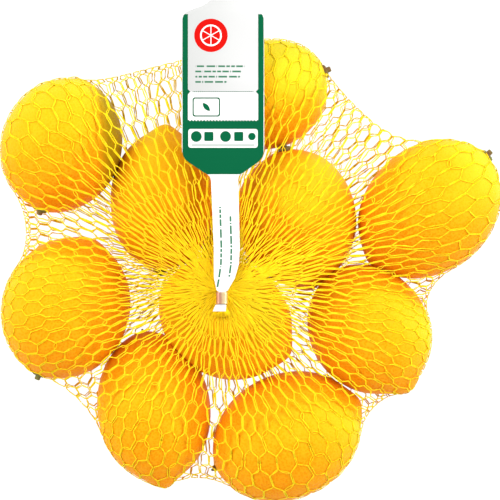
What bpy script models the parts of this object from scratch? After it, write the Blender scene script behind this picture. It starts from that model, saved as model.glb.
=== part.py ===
"""A knitted net bag of ten lemons, lying flat, closed at both ends by metal bands.

Metres, +Z up. The origin is on the floor, under the middle of the object. The tag's
free end points to +Y. Lemons and bag are one solid: the bag is the stretched skin
that runs from lemon to lemon and sinks between them, and each lemon stands proud of it.
"""

import math
from dataclasses import dataclass

import bmesh
import bpy
import numpy as np
from mathutils import Vector

# Overall rules of the pile
FLOOR_CUT = 0.0005

# Lemon shape, as shares of the half length and half width
LEMON_SIDES = 22
LEMON_ROWS = 14
NIPPLE_WIDTH = 0.25
STEM_SWELL = 0.02
STEM_SWELL_WIDTH = 0.30
CALYX_RADIUS = 0.0026
CALYX_LENGTH = 0.0045
CALYX_SIDES = 10
CALYX_RISE = 0.0014

# Stretched skin of the bag
SKIN_SUBDIVISIONS = 5
SKIN_DEPTH = (0.0045, 0.0045, 0.0070)
SKIN_FLOOR = 0.0009
SKIN_SINK = 0.12
SKIN_MIDDLE = 0.0280
SKIN_HALF_THICKNESS = 0.0040
SKIN_START = (0.135, 0.130, 0.045)
SKIN_START_HEIGHT = 0.030
SKIN_PASSES = 240
SKIN_GRIP = 0.02

# Bands: rounded rings of folded strip metal
BAND_LENGTH = 0.0056
BAND_WIDTH = 0.0058
BAND_WALL = 0.0006
BAND_CORNER_POINTS = 5
BAND_CORNER = 0.0019
UPPER_BAND_CENTRE = (-0.0134, -0.0230, 0.06235)
UPPER_BAND_HEIGHT = 0.0055
LOWER_BAND_CENTRE = (-0.0202, -0.0010, 0.0035)
LOWER_BAND_HEIGHT = 0.0048

# Tag: one strip of printed film, wide at its free end
TAG_THICKNESS = 0.0004
TAG_COLUMNS = 8
TAG_CURL = 0.0015
TAG_CURL_FROM_WIDTH = 0.030
TAG_LONGEST_ROW = 0.0055


@dataclass(frozen=True)
class Lemon:
    """One lemon: its middle seen from above, its sizes and where its tip points."""

    name: str
    x: float
    y: float
    lift: float
    length: float
    width: float
    turn: float
    tilt: float
    nipple: float

    @property
    def axis(self):
        turn, tilt = math.radians(self.turn), math.radians(self.tilt)
        flat = math.cos(tilt)
        return Vector((flat * math.cos(turn), flat * math.sin(turn), math.sin(tilt)))

    @property
    def centre(self):
        """The lowest point of a tilted ellipsoid decides how high its middle is."""
        tilt = math.radians(self.tilt)
        reach = math.hypot(
            self.width / 2 * math.cos(tilt), self.length / 2 * math.sin(tilt)
        )
        return Vector((self.x, self.y, reach + self.lift - FLOOR_CUT))


# Name, middle x and y, lift off the floor, length, width, turn and tilt of the tip
# in degrees, and how far the tip stands out as a share of the half length.
LEMONS = (
    Lemon("lemon_left_top", -0.0902, 0.0506, 0.0, 0.0667, 0.0576, 72, -12, 0.05),
    Lemon("lemon_under_strip", -0.0418, 0.0254, 0.0, 0.0700, 0.0506, 88, 3, 0.10),
    Lemon("lemon_under_tag", 0.0072, 0.0744, 0.0, 0.0624, 0.0524, 202, 0, 0.09),
    Lemon("lemon_middle_right", 0.0226, 0.0144, 0.0, 0.0700, 0.0574, -80, -8, 0.09),
    Lemon("lemon_right", 0.0857, 0.0194, 0.0, 0.0768, 0.0600, 223, 0, 0.05),
    Lemon("lemon_left_low", -0.0883, -0.0274, 0.0, 0.0696, 0.0608, 68, 0, 0.05),
    Lemon("lemon_centre", -0.0106, -0.0336, 0.005, 0.0686, 0.0556, -29, 0, 0.08),
    Lemon("lemon_right_low", 0.0581, -0.0389, 0.0, 0.0682, 0.0568, -57, 0, 0.10),
    Lemon("lemon_bottom_left", -0.0463, -0.0773, 0.0, 0.0758, 0.0540, -82, 2, 0.10),
    Lemon("lemon_bottom_right", 0.0180, -0.0888, 0.0, 0.0768, 0.0596, 25, 0, 0.07),
)

# Middle line of the gathered net through the upper band, from inside the bag to the
# cut end: x, y, z and radius.
UPPER_NECK = (
    (-0.0134, -0.0205, 0.0490, 0.0070),
    (-0.0134, -0.0180, 0.0570, 0.0044),
    (-0.0134, -0.0180, 0.0603, 0.0020),
    (-0.0134, -0.0198, 0.0617, 0.0012),
    (-0.0134, -0.0262, 0.0618, 0.0012),
    (-0.0141, -0.0300, 0.0606, 0.0024),
)
LOWER_NECK = (
    (-0.0202, -0.0170, 0.0150, 0.0060),
    (-0.0202, -0.0105, 0.0090, 0.0032),
    (-0.0202, -0.0065, 0.0047, 0.0017),
    (-0.0202, -0.0042, 0.0036, 0.0014),
    (-0.0202, 0.0024, 0.0035, 0.0014),
    (-0.0196, 0.0080, 0.0035, 0.0023),
)

# Stations along the tag, from the short end past the band to the free end: y, middle
# x, half width and height.
TAG_STATIONS = (
    (-0.0293, -0.0147, 0.0031, 0.0636),
    (-0.0262, -0.0139, 0.0026, 0.0640),
    (-0.0260, -0.0135, 0.0016, 0.0639),
    (-0.0200, -0.0133, 0.0016, 0.0639),
    (-0.0194, -0.0133, 0.0026, 0.0640),
    (-0.0134, -0.0122, 0.0050, 0.0634),
    (-0.0067, -0.0113, 0.0060, 0.0622),
    (0.0010, -0.0111, 0.0062, 0.0606),
    (0.0326, -0.0121, 0.0065, 0.0568),
    (0.0346, -0.0123, 0.0066, 0.0566),
    (0.0362, -0.0125, 0.0072, 0.0565),
    (0.0442, -0.0129, 0.0193, 0.0561),
    (0.0470, -0.0129, 0.0197, 0.0560),
    (0.0800, -0.0129, 0.0197, 0.0558),
    (0.1104, -0.0129, 0.0196, 0.0534),
    (0.1136, -0.0128, 0.0176, 0.0530),
    (0.1160, -0.0126, 0.0124, 0.0527),
    (0.1180, -0.0125, 0.0082, 0.0524),
    (0.1196, -0.0124, 0.0065, 0.0522),
)


def clear_scene():
    for obj in list(bpy.data.objects):
        bpy.data.objects.remove(obj, do_unlink=True)


def new_collection(name):
    collection = bpy.data.collections.new(name)
    bpy.context.scene.collection.children.link(collection)
    return collection


def principled(name, colour, roughness, metallic=0.0):
    material = bpy.data.materials.new(name)
    material.use_nodes = True
    shader = material.node_tree.nodes["Principled BSDF"]
    shader.inputs["Base Color"].default_value = (*colour, 1.0)
    shader.inputs["Roughness"].default_value = roughness
    shader.inputs["Metallic"].default_value = metallic
    return material


def add_object(name, data, collection, material=None):
    obj = bpy.data.objects.new(name, data)
    collection.objects.link(obj)
    if material:
        obj.data.materials.append(material)
    return obj


def as_guide(obj):
    obj.hide_render = True
    obj.display_type = "WIRE"
    return obj


def smooth(obj, degrees=28):
    obj.data.shade_smooth()
    obj.data.set_sharp_from_angle(angle=math.radians(degrees))


def frozen(obj, material=None):
    """The object as a plain mesh in world space, with its modifiers applied."""
    bpy.context.view_layer.update()
    graph = bpy.context.evaluated_depsgraph_get()
    mesh = bpy.data.meshes.new_from_object(obj.evaluated_get(graph))
    mesh.transform(obj.matrix_world)
    cleaner = bmesh.new()
    cleaner.from_mesh(mesh)
    bmesh.ops.remove_doubles(cleaner, verts=cleaner.verts, dist=1e-6)
    bmesh.ops.recalc_face_normals(cleaner, faces=cleaner.faces)
    cleaner.to_mesh(mesh)
    cleaner.free()
    name, collection = obj.name, obj.users_collection[0]
    bpy.data.objects.remove(obj, do_unlink=True)
    mesh.materials.clear()
    return add_object(name, mesh, collection, material)


def lemon_profile(lemon):
    """Radius and height down the outside of a lemon, from its tip to its stem end."""
    rows = []
    for row in range(LEMON_ROWS + 1):
        angle = math.pi * row / LEMON_ROWS
        radius, height = math.sin(angle), math.cos(angle)
        if height > 0:
            height += lemon.nipple * math.exp(-((radius / NIPPLE_WIDTH) ** 2))
        else:
            height -= STEM_SWELL * math.exp(-((radius / STEM_SWELL_WIDTH) ** 2))
        rows.append((radius, height))
    top, bottom = rows[0][1], rows[-1][1]
    scale = lemon.length / (top - bottom)
    middle = (top + bottom) / 2
    return [(r * lemon.width / 2, (h - middle) * scale) for r, h in rows]


def make_lemon(lemon, collection):
    mesh = bpy.data.meshes.new(lemon.name)
    points = [(radius, 0.0, height) for radius, height in lemon_profile(lemon)]
    edges = [(row, row + 1) for row in range(len(points) - 1)]
    mesh.from_pydata(points, edges, [])
    obj = add_object(lemon.name, mesh, collection)
    screw = obj.modifiers.new("turn", "SCREW")
    screw.steps = screw.render_steps = LEMON_SIDES
    screw.use_merge_vertices = True
    screw.merge_threshold = 1e-6
    obj.location = lemon.centre
    obj.rotation_mode = "QUATERNION"
    obj.rotation_quaternion = lemon.axis.to_track_quat("Z", "Y")
    return as_guide(frozen(obj))


def make_calyx(lemon, collection):
    """The button of dry sepals and cut stalk at the stem end."""
    mesh = bpy.data.meshes.new(lemon.name + "_calyx")
    shape = bmesh.new()
    bmesh.ops.create_cone(
        shape,
        cap_ends=True,
        segments=CALYX_SIDES,
        radius1=CALYX_RADIUS,
        radius2=CALYX_RADIUS * 1.15,
        depth=CALYX_LENGTH,
    )
    shape.to_mesh(mesh)
    shape.free()
    obj = add_object(mesh.name, mesh, collection)
    reach = lemon.length / 2 + CALYX_RISE - CALYX_LENGTH / 2
    obj.location = lemon.centre - lemon.axis * reach
    obj.rotation_mode = "QUATERNION"
    obj.rotation_quaternion = lemon.axis.to_track_quat("Z", "Y")
    return as_guide(frozen(obj))


def push_out(points, centre, axes, sizes):
    """Moves the points that are inside an ellipsoid straight out to its surface."""
    local = (points - centre) @ axes.T / sizes
    reach = np.linalg.norm(local, axis=1)
    inside = reach < 1.0
    local[inside] /= np.maximum(reach[inside], 1e-6)[:, None]
    moved = points.copy()
    moved[inside] = (local[inside] * sizes) @ axes + centre
    return moved


def ellipsoid_of(lemon):
    """Centre, axes and half sizes of the lemon, drawn in by the depth of the skin.

    The depth is given along the lemon, to its sides and upwards.
    """
    along = lemon.axis.normalized()
    side = Vector((0.0, 0.0, 1.0)).cross(along).normalized()
    up = along.cross(side)
    half = np.array([lemon.length, lemon.width, lemon.width]) / 2
    half[0] *= 1 - lemon.nipple / 2
    axes = np.array([along, side, up])
    return np.array(lemon.centre), axes, half - np.array(SKIN_DEPTH)


def relaxed_skin(points, edges):
    """Shrinks the skin like a stretched bag until the lemons and the floor hold it.

    Between the lemons it also sinks towards the middle of the layer. Points that press
    on a lemon grip it, so that they hardly slide along it.
    """
    upper = points[:, 2] > SKIN_START_HEIGHT
    web = np.where(upper, SKIN_HALF_THICKNESS, -SKIN_HALF_THICKNESS) + SKIN_MIDDLE
    lemons = [ellipsoid_of(lemon) for lemon in LEMONS]
    counts = np.bincount(edges.reshape(-1), minlength=len(points))[:, None]
    for _ in range(SKIN_PASSES):
        total = np.zeros_like(points)
        np.add.at(total, edges[:, 0], points[edges[:, 1]])
        np.add.at(total, edges[:, 1], points[edges[:, 0]])
        pulled = total / counts
        pulled[:, 2] += SKIN_SINK * (web - pulled[:, 2])
        held = np.zeros(len(points), bool)
        for centre, axes, sizes in lemons:
            local = (pulled - centre) @ axes.T / sizes
            held |= np.linalg.norm(local, axis=1) < 1.0
        slid = points + SKIN_GRIP * (pulled - points)
        points = np.where(held[:, None], slid, pulled)
        for centre, axes, sizes in lemons:
            points = push_out(points, centre, axes, sizes)
        points[:, 2] = np.maximum(points[:, 2], SKIN_FLOOR)
    return points


def make_skin(collection):
    mesh = bpy.data.meshes.new("net_with_lemons")
    shape = bmesh.new()
    bmesh.ops.create_icosphere(shape, subdivisions=SKIN_SUBDIVISIONS, radius=1.0)
    shape.verts.ensure_lookup_table()
    start = np.array([vert.co for vert in shape.verts]) * np.array(SKIN_START)
    start[:, 2] += SKIN_START_HEIGHT
    edges = np.array([[vert.index for vert in edge.verts] for edge in shape.edges])
    for vert, place in zip(shape.verts, relaxed_skin(start, edges)):
        vert.co = place
    shape.to_mesh(mesh)
    shape.free()
    return add_object("net_with_lemons", mesh, collection)


def make_neck(name, stations, collection):
    """The gathered net: a tapering rod along its middle line."""
    curve = bpy.data.curves.new(name, "CURVE")
    curve.dimensions = "3D"
    curve.bevel_depth = 1.0
    curve.bevel_resolution = 3
    curve.resolution_u = 3
    curve.use_fill_caps = True
    spline = curve.splines.new("BEZIER")
    spline.bezier_points.add(len(stations) - 1)
    for point, (x, y, z, radius) in zip(spline.bezier_points, stations):
        point.co = (x, y, z)
        point.radius = radius
        point.handle_left_type = "AUTO"
        point.handle_right_type = "AUTO"
    return as_guide(frozen(add_object(name, curve, collection)))


def join_all(base, collection):
    """Joins the collection's solids to the base, and removes them."""
    join = base.modifiers.new("join", "BOOLEAN")
    join.operation = "UNION"
    join.operand_type = "COLLECTION"
    join.collection = collection
    join.solver = "EXACT"
    joined = frozen(base)
    for obj in list(collection.objects):
        bpy.data.objects.remove(obj, do_unlink=True)
    return joined


def cut_flat(obj, cutters, material):
    """Cuts the undersides flat at the floor, so that the bag rests steadily."""
    mesh = bpy.data.meshes.new("floor_cutter")
    shape = bmesh.new()
    bmesh.ops.create_cube(shape, size=1.0)
    bmesh.ops.translate(shape, verts=shape.verts, vec=(0.0, 0.0, -0.5))
    shape.to_mesh(mesh)
    shape.free()
    cutter = as_guide(add_object("floor_cutter", mesh, cutters))
    cut = obj.modifiers.new("floor", "BOOLEAN")
    cut.operation = "DIFFERENCE"
    cut.object = cutter
    cut.solver = "EXACT"
    flat = frozen(obj, material)
    bpy.data.objects.remove(cutter, do_unlink=True)
    return flat


def make_net_with_lemons(parts, fused, cutters, material):
    for lemon in LEMONS:
        make_lemon(lemon, fused)
        make_calyx(lemon, fused)
    make_neck("upper_neck", UPPER_NECK, fused)
    make_neck("lower_neck", LOWER_NECK, fused)
    obj = cut_flat(join_all(make_skin(parts), fused), cutters, material)
    smooth(obj)
    return obj


def rounded_loop(width, height, corner):
    """Points round a rectangle with round corners, in its own plane."""
    points = []
    for quarter in range(4):
        middle_x = (width / 2 - corner) * (1 if quarter in (0, 3) else -1)
        middle_y = (height / 2 - corner) * (1 if quarter in (0, 1) else -1)
        for step in range(BAND_CORNER_POINTS):
            angle = math.pi / 2 * (quarter + step / (BAND_CORNER_POINTS - 1))
            points.append(
                (
                    middle_x + corner * math.cos(angle),
                    middle_y + corner * math.sin(angle),
                )
            )
    return points


def make_band(name, centre, height, parts, material):
    """A ring of strip metal pressed round the gathered net, its hole along Y."""
    curve = bpy.data.curves.new(name, "CURVE")
    curve.dimensions = "2D"
    curve.fill_mode = "BOTH"
    curve.extrude = BAND_LENGTH / 2
    outer = rounded_loop(BAND_WIDTH, height, BAND_CORNER)
    inner = rounded_loop(
        BAND_WIDTH - 2 * BAND_WALL, height - 2 * BAND_WALL, BAND_CORNER - BAND_WALL
    )
    for loop in (outer, inner):
        spline = curve.splines.new("POLY")
        spline.points.add(len(loop) - 1)
        for point, (x, y) in zip(spline.points, loop):
            point.co = (x, y, 0.0, 1.0)
        spline.use_cyclic_u = True
    obj = add_object(name, curve, parts)
    obj.location = centre
    obj.rotation_euler = (math.pi / 2, 0.0, 0.0)
    obj = frozen(obj, material)
    smooth(obj)
    return obj


def tag_rows():
    """The stations, with rows added between those that are far apart."""
    rows = []
    for near, far in zip(TAG_STATIONS, TAG_STATIONS[1:]):
        steps = max(1, math.ceil((far[0] - near[0]) / TAG_LONGEST_ROW))
        for step in range(steps):
            share = step / steps
            rows.append([a + (b - a) * share for a, b in zip(near, far)])
    rows.append(list(TAG_STATIONS[-1]))
    return rows


def make_tag(parts, material):
    rows = tag_rows()
    mesh = bpy.data.meshes.new("tag")
    shape = bmesh.new()
    bmesh.ops.create_grid(
        shape, x_segments=TAG_COLUMNS, y_segments=len(rows) - 1, size=1.0
    )
    for vert in shape.verts:
        across = vert.co.x
        row = round((vert.co.y + 1) / 2 * (len(rows) - 1))
        y, middle, half_width, height = rows[row]
        curl = TAG_CURL * (half_width / TAG_CURL_FROM_WIDTH) * across * across
        vert.co = (middle + across * half_width, y, height - curl)
    bmesh.ops.triangulate(shape, faces=shape.faces)
    shape.to_mesh(mesh)
    shape.free()
    obj = add_object("tag", mesh, parts, material)
    sheet = obj.modifiers.new("sheet", "SOLIDIFY")
    sheet.thickness = TAG_THICKNESS
    sheet.offset = 0.0
    obj.data.shade_smooth()
    return obj


def main():
    clear_scene()
    parts = new_collection("net_bag_of_lemons")
    fused = new_collection("fused_into_the_bag")
    cutters = new_collection("cutters")
    lemon_yellow = principled("lemon_and_net_yellow", (0.95, 0.60, 0.02), 0.45)
    band_metal = principled("band_metal", (0.72, 0.55, 0.45), 0.35, 1.0)
    tag_film = principled("tag_film", (0.90, 0.91, 0.90), 0.40)
    make_net_with_lemons(parts, fused, cutters, lemon_yellow)
    make_band("upper_band", UPPER_BAND_CENTRE, UPPER_BAND_HEIGHT, parts, band_metal)
    make_band("lower_band", LOWER_BAND_CENTRE, LOWER_BAND_HEIGHT, parts, band_metal)
    make_tag(parts, tag_film)


main()
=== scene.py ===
"""Looks of a knitted net bag of ten lemons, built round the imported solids.

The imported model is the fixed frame. The one solid of net and lemons is replaced by ten
separate lemons and by the knitted net itself: a lattice of bars and short pillars that
is stretched over the lemons between the upper and the lower band, and then worked as
pairs of fine threads. The bands and the printed tag are dressed where they lie.
"""

import logging
import math
from dataclasses import dataclass, field
from enum import Enum

import bmesh
import bpy
import numpy as np
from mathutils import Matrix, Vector

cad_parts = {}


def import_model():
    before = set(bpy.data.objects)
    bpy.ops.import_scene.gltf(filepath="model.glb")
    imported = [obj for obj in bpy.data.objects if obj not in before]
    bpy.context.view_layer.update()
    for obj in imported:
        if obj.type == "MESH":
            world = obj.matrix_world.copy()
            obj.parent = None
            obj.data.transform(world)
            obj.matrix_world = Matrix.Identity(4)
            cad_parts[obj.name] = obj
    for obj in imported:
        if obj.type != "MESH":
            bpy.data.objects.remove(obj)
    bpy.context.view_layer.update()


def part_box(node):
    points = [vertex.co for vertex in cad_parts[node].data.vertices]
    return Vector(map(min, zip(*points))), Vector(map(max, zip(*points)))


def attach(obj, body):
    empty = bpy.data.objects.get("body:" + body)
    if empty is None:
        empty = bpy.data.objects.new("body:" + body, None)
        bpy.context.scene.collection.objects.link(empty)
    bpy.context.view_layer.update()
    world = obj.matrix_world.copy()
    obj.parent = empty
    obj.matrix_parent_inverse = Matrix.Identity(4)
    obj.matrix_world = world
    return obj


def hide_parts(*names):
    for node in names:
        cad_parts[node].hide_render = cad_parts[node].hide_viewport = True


LOG = logging.getLogger("net_of_lemons")

NET_NODE = "net_with_lemons"
UPPER_BAND_NODE = "upper_band"
LOWER_BAND_NODE = "lower_band"
TAG_NODE = "tag"

# The photograph's frame, seen from straight above
PICTURE_PIXELS = 500
METRES_PER_PIXEL = 0.00048
CAMERA_HEIGHT = 6.0
SENSOR_WIDTH = 36.0
FOCUS_HEIGHT = 0.035

Socket = bpy.types.NodeSocket
Points = np.ndarray


class TagZone(Enum):
    """Which face of the tag a polygon is on."""

    PRINTED = 0
    PLAIN = 1


class NetZone(Enum):
    """The three stretches of net, as shares of the way from upper to lower band."""

    TOP = (0.0, 0.34)
    RIM = (0.34, 0.66)
    UNDERSIDE = (0.66, 1.0)


def unit(vectors: Points) -> Points:
    """Scales each row of an array to length one.

    Args:
        vectors: An array whose last axis holds the components.

    Returns:
        The array of unit vectors.
    """
    lengths = np.linalg.norm(vectors, axis=-1, keepdims=True)
    return vectors / np.maximum(lengths, 1e-9)


def smoothstep(low: float, high: float, value: Points) -> Points:
    """Eases from 0 at low to 1 at high."""
    share = np.clip((value - low) / (high - low), 0.0, 1.0)
    return share * share * (3.0 - 2.0 * share)


def new_mesh_object(name: str, points: Points, faces: list) -> bpy.types.Object:
    """Makes a mesh object at the origin.

    Args:
        name: The object's name.
        points: Vertex places in metres.
        faces: Vertex indices of each face.

    Returns:
        The linked object.
    """
    mesh = bpy.data.meshes.new(name)
    mesh.from_pydata([tuple(point) for point in points], [], faces)
    mesh.update()
    obj = bpy.data.objects.new(name, mesh)
    bpy.context.scene.collection.objects.link(obj)
    return obj


def set_attribute(mesh: bpy.types.Mesh, name: str, values: Points) -> None:
    """Stores one number at each vertex.

    Args:
        mesh: The mesh that takes the attribute.
        name: The attribute's name.
        values: One value for each vertex.
    """
    attribute = mesh.attributes.new(name, "FLOAT", "POINT")
    attribute.data.foreach_set("value", np.asarray(values, np.float32))


def fix_normals(obj: bpy.types.Object) -> None:
    """Turns every face of a closed mesh outwards.

    Args:
        obj: The object, whose mesh is changed.
    """
    shape = bmesh.new()
    shape.from_mesh(obj.data)
    bmesh.ops.remove_doubles(shape, verts=shape.verts, dist=1e-7)
    bmesh.ops.recalc_face_normals(shape, faces=shape.faces)
    shape.to_mesh(obj.data)
    shape.free()


def finish_piece(
    obj: bpy.types.Object, replaced: str, smooth_degrees: float = 60.0
) -> bpy.types.Object:
    """Shades a piece and hands it to the frame.

    Args:
        obj: The finished piece, at the origin.
        replaced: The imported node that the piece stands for.
        smooth_degrees: Edges sharper than this stay sharp.

    Returns:
        The same object.
    """
    obj.data.shade_smooth()
    obj.data.set_sharp_from_angle(angle=math.radians(smooth_degrees))
    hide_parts(replaced)
    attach(obj, "root")
    LOG.info("%s: %d faces", obj.name, len(obj.data.polygons))
    return obj


class NodeBench:
    """A material's node tree, with short methods that add and wire nodes."""

    def __init__(self, name: str) -> None:
        """Starts a material with an empty Principled shader.

        Args:
            name: The material's name.
        """
        self.material = bpy.data.materials.new(name)
        self.material.use_nodes = True
        self.tree = self.material.node_tree
        self.shader = self.tree.nodes["Principled BSDF"]

    def add(self, kind: str, **settings: object) -> bpy.types.Node:
        """Adds a node and sets its properties.

        Args:
            kind: The node's type.
            settings: Its properties, by name.

        Returns:
            The node.
        """
        node = self.tree.nodes.new(kind)
        for key, value in settings.items():
            setattr(node, key, value)
        return node

    def wire(self, source: Socket, target: Socket) -> None:
        """Joins two sockets."""
        self.tree.links.new(source, target)

    def plug(self, value: object, target: Socket) -> None:
        """Wires a socket to the target, or sets a plain number on it.

        Args:
            value: A socket, a number or a colour.
            target: The input that takes it.
        """
        if isinstance(value, bpy.types.NodeSocket):
            self.wire(value, target)
        else:
            target.default_value = value

    def attribute(self, name: str) -> Socket:
        """The factor of a vertex attribute."""
        return self.add("ShaderNodeAttribute", attribute_name=name).outputs["Fac"]

    def place(self) -> Socket:
        """The Object coordinates."""
        return self.add("ShaderNodeTexCoord").outputs["Object"]

    def math(self, operation: str, first: object, second: object = 0.0) -> Socket:
        """One step of arithmetic.

        Args:
            operation: The Math node's operation.
            first: A socket or a number.
            second: A socket or a number.

        Returns:
            The result's socket.
        """
        node = self.add("ShaderNodeMath", operation=operation)
        self.plug(first, node.inputs[0])
        self.plug(second, node.inputs[1])
        return node.outputs[0]

    def noise(self, place: Socket, scale: float, detail: float = 3.0) -> Socket:
        """Fractal noise round 0.5.

        Args:
            place: Where it is read.
            scale: Its steps in a metre.
            detail: How many finer layers it has.

        Returns:
            The noise's socket.
        """
        node = self.add("ShaderNodeTexNoise")
        node.inputs["Scale"].default_value = scale
        node.inputs["Detail"].default_value = detail
        self.wire(place, node.inputs["Vector"])
        return node.outputs["Fac"]

    def cells(self, place: Socket, scale: float) -> Socket:
        """Distance to the nearest of scattered points, in cells.

        Args:
            place: Where it is read.
            scale: Cells in a metre.

        Returns:
            The distance's socket.
        """
        node = self.add("ShaderNodeTexVoronoi", feature="SMOOTH_F1")
        node.inputs["Scale"].default_value = scale
        node.inputs["Smoothness"].default_value = 0.35
        self.wire(place, node.inputs["Vector"])
        return node.outputs["Distance"]

    def ease(self, value: Socket, low: float, high: float) -> Socket:
        """Maps low to high onto 0 to 1, smoothly.

        Args:
            value: What is mapped.
            low: The value that gives 0.
            high: The value that gives 1.

        Returns:
            The result's socket.
        """
        node = self.add("ShaderNodeMapRange", interpolation_type="SMOOTHSTEP")
        self.wire(value, node.inputs["Value"])
        node.inputs["From Min"].default_value = low
        node.inputs["From Max"].default_value = high
        return node.outputs["Result"]

    def ramp(self, value: Socket, stops: tuple) -> Socket:
        """A colour ramp.

        Args:
            value: The socket that drives it.
            stops: Pairs of place and colour.

        Returns:
            The colour's socket.
        """
        node = self.add("ShaderNodeValToRGB")
        elements = node.color_ramp.elements
        while len(elements) < len(stops):
            elements.new(0.5)
        for element, (place, colour) in zip(elements, stops):
            element.position = place
            element.color = (*colour, 1.0)
        self.wire(value, node.inputs["Fac"])
        return node.outputs["Color"]

    def blend(self, share: object, first: object, second: object) -> Socket:
        """Mixes two colours.

        Args:
            share: How much of the second, a socket or a number.
            first: A socket or a colour.
            second: A socket or a colour.

        Returns:
            The mixed colour's socket.
        """
        node = self.add("ShaderNodeMix", data_type="RGBA")
        self.plug(share, node.inputs[0])
        for value, socket in ((first, node.inputs[6]), (second, node.inputs[7])):
            if isinstance(value, tuple):
                value = (*value, 1.0)
            self.plug(value, socket)
        return node.outputs[2]

    def bump(self, height: Socket, strength: float, distance: float) -> None:
        """Gives the shader a relief.

        Args:
            height: The relief, from 0 to 1.
            strength: How much of it shows.
            distance: Its full depth in metres.
        """
        node = self.add("ShaderNodeBump")
        node.inputs["Strength"].default_value = strength
        node.inputs["Distance"].default_value = distance
        self.wire(height, node.inputs["Height"])
        self.wire(node.outputs["Normal"], self.shader.inputs["Normal"])

    def set(self, **values: object) -> None:
        """Sets sockets of the shader, with spaces written as underscores."""
        for key, value in values.items():
            self.plug(value, self.shader.inputs[key.replace("_", " ")])


@dataclass(frozen=True)
class PeelFinish:
    """Lemon peel, pored: painted shade makes it warmer and darker in the folds of the
    pile, and painted light makes it paler towards the outside.
    """

    # Ramp of peel colours: pale where painted light falls, orange in the painted shade of
    # the folds; ripeness and mottle also move along it.
    pale: tuple = (0.64, 0.57, 0.018)
    yellow: tuple = (0.78, 0.40, 0.005)
    golden: tuple = (0.83, 0.295, 0.0015)
    orange: tuple = (0.82, 0.215, 0.0012)
    fleck: tuple = (0.86, 0.52, 0.020)
    # Olive of a greenish unripe flank, darkened further as painted shade.
    unripe_and_shade: tuple = (0.25, 0.20, 0.004)
    gland_scale: float = 900.0
    mottle_scale: float = 60.0

    def build(self) -> bpy.types.Material:
        """Makes the material.

        Returns:
            The material.
        """
        bench = NodeBench("lemon_peel")
        place = bench.place()
        mottle = bench.noise(place, self.mottle_scale, 4.0)
        shift = bench.math("MULTIPLY", bench.math("SUBTRACT", mottle, 0.5), 0.22)
        # The attribute holds painted shade and painted light with each lemon's ripeness;
        # the noise adds a real mottle.
        warmth_and_shade = bench.math("ADD", bench.attribute("warmth_and_shade"), shift)
        colour = bench.ramp(
            warmth_and_shade,
            (
                (0.0, self.pale),
                (0.25, self.yellow),
                (0.50, self.golden),
                (1.0, self.orange),
            ),
        )
        glands = bench.cells(place, self.gland_scale)
        speck = bench.ease(glands, 0.20, 0.62)
        fleck = bench.math("MULTIPLY", speck, 0.30)
        colour = bench.blend(fleck, colour, self.fleck)
        # The greenish unripe flank, with painted shade in it.
        colour = bench.blend(bench.attribute("unripe_and_shade"), colour, self.unripe_and_shade)
        rough = bench.noise(place, 260.0, 2.0)
        relief = bench.blend(0.35, glands, rough)
        bench.bump(relief, 0.8, 0.0004)
        bench.set(
            Base_Color=colour,
            Roughness=0.48,
            Specular_IOR_Level=0.06,
            Specular_Tint=(1.0, 0.72, 0.08, 1.0),
            Subsurface_Weight=0.08,
            Subsurface_Radius=(0.6, 0.45, 0.08),
            Subsurface_Scale=0.002,
        )
        return bench.material


@dataclass(frozen=True)
class CalyxFinish:
    """Dry sepals and cut stalk: grey-brown with some green left."""

    brown: tuple = (0.16, 0.075, 0.018)
    green: tuple = (0.16, 0.17, 0.035)

    def build(self) -> bpy.types.Material:
        """Makes the material.

        Returns:
            The material.
        """
        bench = NodeBench("dry_calyx")
        place = bench.place()
        patches = bench.ease(bench.noise(place, 420.0), 0.38, 0.62)
        colour = bench.blend(patches, self.brown, self.green)
        bench.bump(bench.noise(place, 1500.0), 0.7, 0.0004)
        bench.set(Base_Color=colour, Roughness=0.85)
        return bench.material


@dataclass(frozen=True)
class ThreadFinish:
    """Bright yellow knitted thread, a little translucent, painted a deeper gold near the
    gather as painted shade where the threads crowd.
    """

    bright: tuple = (0.98, 0.74, 0.016)
    deep: tuple = (0.96, 0.62, 0.010)
    # Painted shade: the deeper gold of the crowded threads, full at the gather and gone
    # beyond the reach.
    golden: tuple = (1.0, 0.64, 0.012)
    gather: tuple = (-0.0134, -0.0200, 0.0580)
    gather_shade_reach: tuple = (0.008, 0.045)

    def build(self) -> bpy.types.Material:
        """Makes the material.

        Returns:
            The material.
        """
        bench = NodeBench("yellow_thread")
        place = bench.place()
        tone = bench.noise(place, 320.0, 2.0)
        colour = bench.blend(bench.ease(tone, 0.35, 0.7), self.bright, self.deep)
        # Painted shade near the gather, where the threads crowd and shade one another.
        away = bench.add("ShaderNodeVectorMath", operation="DISTANCE")
        bench.wire(place, away.inputs[0])
        away.inputs[1].default_value = self.gather
        open_net = bench.ease(away.outputs["Value"], *self.gather_shade_reach)
        colour = bench.blend(open_net, self.golden, colour)
        bench.set(
            Base_Color=colour,
            Roughness=0.5,
            Specular_IOR_Level=0.06,
            Specular_Tint=(1.0, 0.8, 0.1, 1.0),
            Subsurface_Weight=0.3,
            Subsurface_Radius=(1.0, 0.8, 0.2),
            Subsurface_Scale=0.0008,
        )
        return bench.material


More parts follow.
